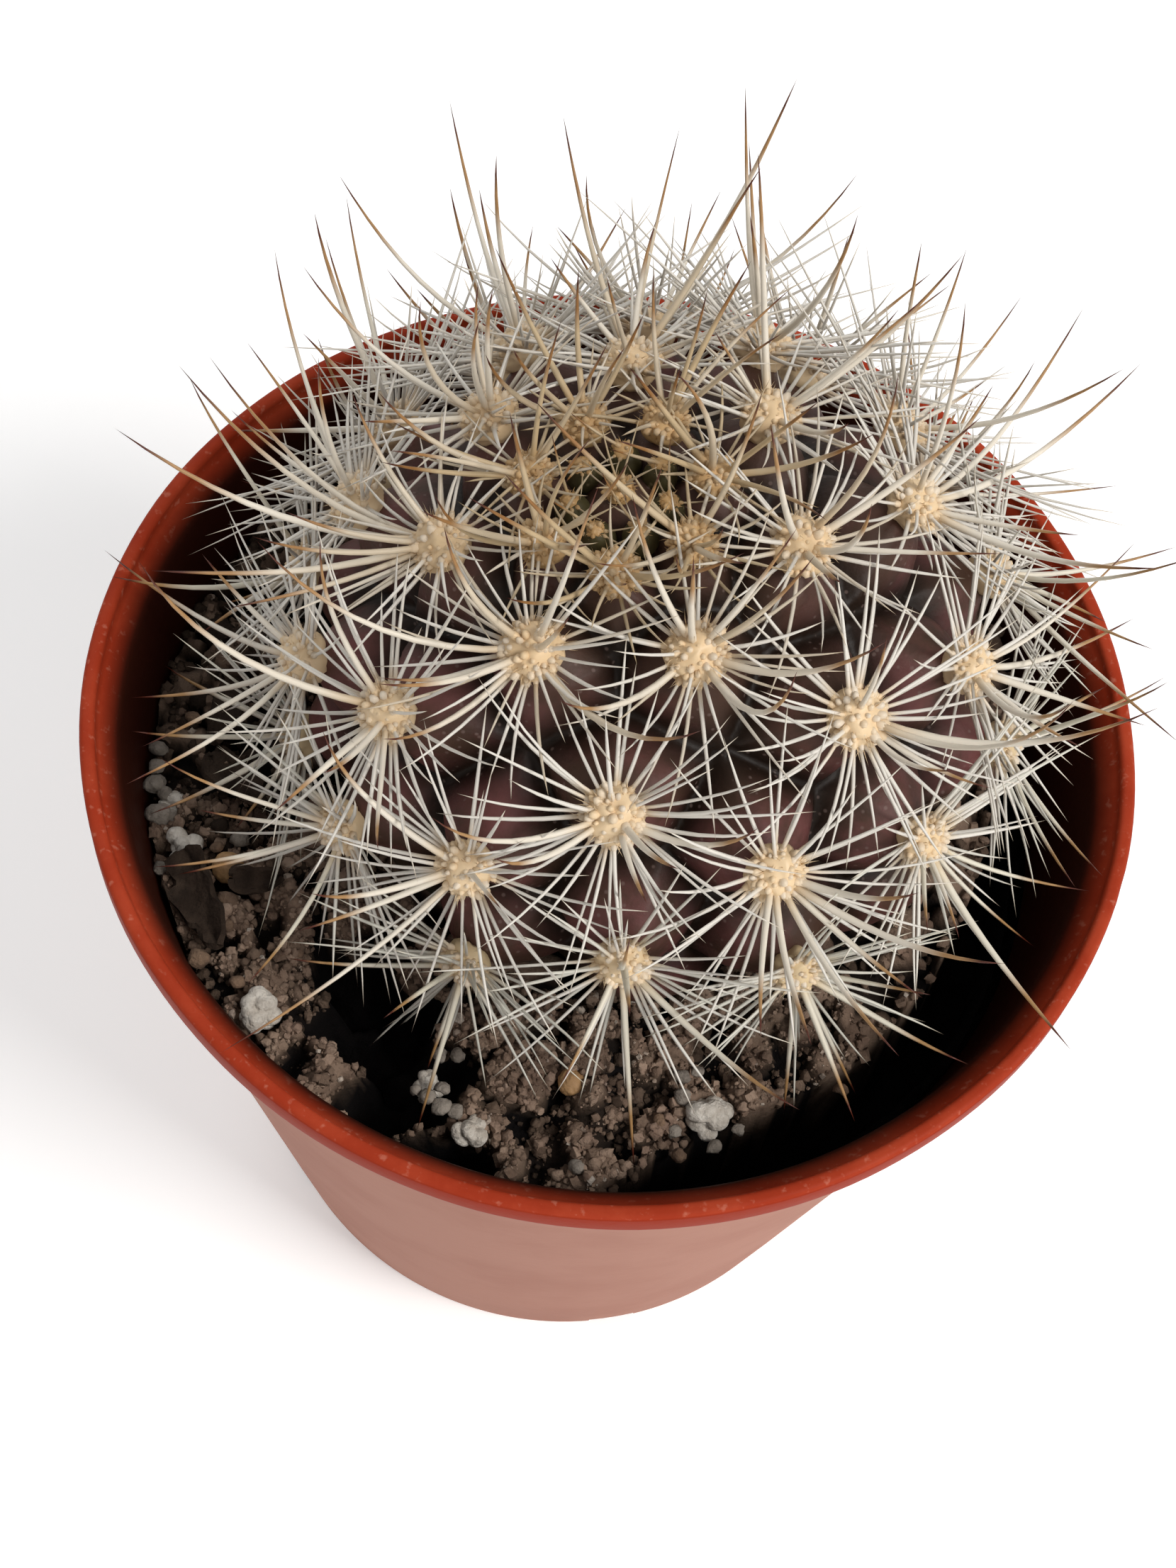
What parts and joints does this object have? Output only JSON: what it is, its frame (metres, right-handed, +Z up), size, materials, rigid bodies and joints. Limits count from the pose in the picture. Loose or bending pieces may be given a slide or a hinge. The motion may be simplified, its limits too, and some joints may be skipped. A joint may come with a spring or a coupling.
{
  "type": "potted round cactus",
  "caption": "Young round cactus with wool pads and long bowed spines, growing in soil in a small tapered plastic nursery pot.",
  "frame": {"origin": "centre of the pot's underside, on the surface it stands on", "axes": "+Z up along the pot's axis; -Y towards the side the picture was taken from"},
  "size_m": [0.0558, 0.0568, 0.0755],
  "materials": {
    "pot_plastic": "smooth moulded red-brown plastic, satin, a little translucent",
    "soil": "crumbly dark potting mix, dull",
    "flesh": "purple-brown plant skin, satin, dark green low down",
    "spine": "cream to amber spines with brown tips, in cream wool",
    "young_spine": "thin amber spines of the crown",
    "perlite": "off-white foamed mineral grains, dull",
    "pebble": "tan stone grains, dull"
  },
  "bodies": {
    "root": {"pot": "pot_plastic", "soil": "soil", "stem": "flesh", "perlite_left": "perlite", "perlite_left_upper": "perlite", "perlite_front_left": "perlite", "perlite_crack": "perlite", "perlite_front": "perlite", "perlite_right": "perlite", "pebble_left": "pebble", "pebble_front": "pebble", "crown_tuft": "young_spine", "spine_cluster_1_1": "spine", "spine_cluster_1_2": "spine", "spine_cluster_1_3": "spine", "spine_cluster_1_4": "spine", "spine_cluster_1_5": "spine", "spine_cluster_1_6": "spine", "spine_cluster_1_7": "spine", "spine_cluster_2_1": "spine", "spine_cluster_2_2": "spine", "spine_cluster_2_3": "spine", "spine_cluster_2_4": "spine", "spine_cluster_2_5": "spine", "spine_cluster_2_6": "spine", "spine_cluster_2_7": "spine", "spine_cluster_3_1": "spine", "spine_cluster_3_2": "spine", "spine_cluster_3_3": "spine", "spine_cluster_3_4": "spine", "spine_cluster_3_5": "spine", "spine_cluster_3_6": "spine", "spine_cluster_3_7": "spine", "spine_cluster_4_1": "spine", "spine_cluster_4_2": "spine", "spine_cluster_4_3": "spine", "spine_cluster_4_4": "spine", "spine_cluster_4_5": "spine", "spine_cluster_4_6": "spine", "spine_cluster_4_7": "spine", "spine_cluster_5_1": "spine", "spine_cluster_5_2": "spine", "spine_cluster_5_3": "spine", "spine_cluster_5_4": "spine", "spine_cluster_5_5": "spine", "spine_cluster_5_6": "spine", "spine_cluster_5_7": "spine", "spine_cluster_6_1": "spine", "spine_cluster_6_2": "spine", "spine_cluster_6_3": "spine", "spine_cluster_6_4": "spine", "spine_cluster_6_5": "spine", "spine_cluster_6_6": "spine", "spine_cluster_6_7": "spine"}
  },
  "joints": []
}
